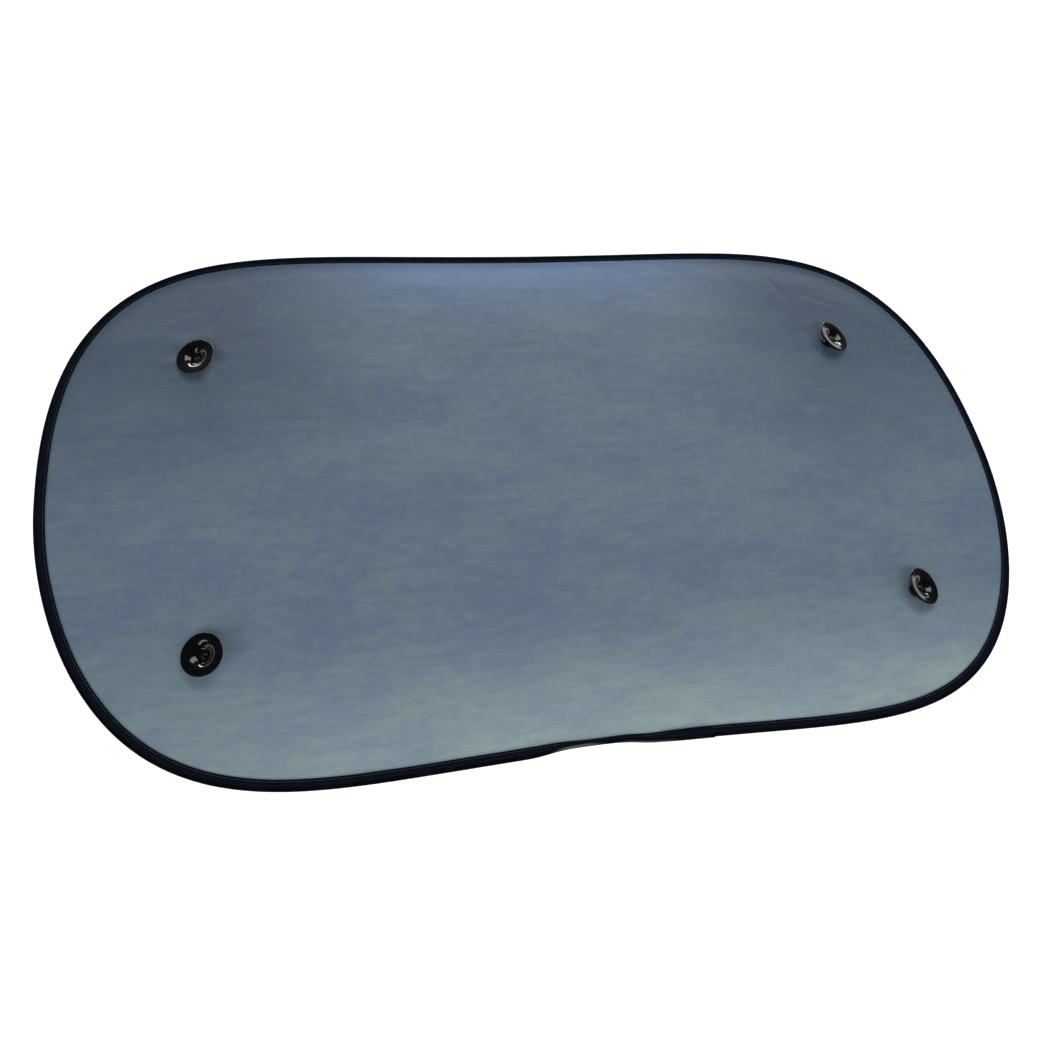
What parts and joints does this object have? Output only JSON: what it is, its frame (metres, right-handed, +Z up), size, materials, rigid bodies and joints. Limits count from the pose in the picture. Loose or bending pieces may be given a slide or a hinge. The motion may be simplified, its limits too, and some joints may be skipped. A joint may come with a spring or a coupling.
{
  "type": "car sunshade",
  "caption": "Springy rear-window sunshade: a waisted mesh panel on a bound wire frame, held to the glass by suction cups near its corners.",
  "frame": {"origin": "middle of the panel's footprint, at the level of the surface that it lies on", "axes": "+X to the right along the long edges, +Y towards the upper long edge, +Z up out of the face that carries the cups"},
  "size_m": [1, 0.578, 0.0277],
  "materials": {
    "mesh_cloth": "fine woven mesh",
    "binding_tape": "woven tape",
    "spring_steel": "drawn wire",
    "black_pvc": "gloss",
    "eyelet_black": "satin"
  },
  "bodies": {
    "shade": {"mesh_panel": "mesh_cloth", "edge_binding": "binding_tape", "frame_wire": "spring_steel", "wire_ferrule": "spring_steel", "eyelet_upper_left": "eyelet_black", "eyelet_upper_right": "eyelet_black", "eyelet_lower_left": "eyelet_black", "eyelet_lower_right": "eyelet_black", "eyelet_washer_upper_left": "eyelet_black", "eyelet_washer_upper_right": "eyelet_black", "eyelet_washer_lower_left": "eyelet_black", "eyelet_washer_lower_right": "eyelet_black"},
    "cup_upper_left": {"suction_cup_upper_left": "black_pvc"},
    "cup_upper_right": {"suction_cup_upper_right": "black_pvc"},
    "cup_lower_left": {"suction_cup_lower_left": "black_pvc"},
    "cup_lower_right": {"suction_cup_lower_right": "black_pvc"}
  },
  "joints": [
    {"name": "upper_left_cup_swivel", "type": "hinge", "parent": "shade", "child": "cup_upper_left", "pos_m": [-0.34968, 0.15266, 0.00938], "axis": [-0.3649, 0.0277, 0.9306], "continuous": true},
    {"name": "upper_right_cup_swivel", "type": "hinge", "parent": "shade", "child": "cup_upper_right", "pos_m": [0.34972, 0.15266, 0.00938], "axis": [0.3649, 0.0277, 0.9306], "continuous": true},
    {"name": "lower_left_cup_swivel", "type": "hinge", "parent": "shade", "child": "cup_lower_left", "pos_m": [-0.34968, -0.16184, 0.00912], "axis": [-0.3649, -0.0293, 0.9306], "continuous": true},
    {"name": "lower_right_cup_swivel", "type": "hinge", "parent": "shade", "child": "cup_lower_right", "pos_m": [0.34972, -0.16184, 0.00912], "axis": [0.3649, -0.0293, 0.9306], "continuous": true}
  ]
}
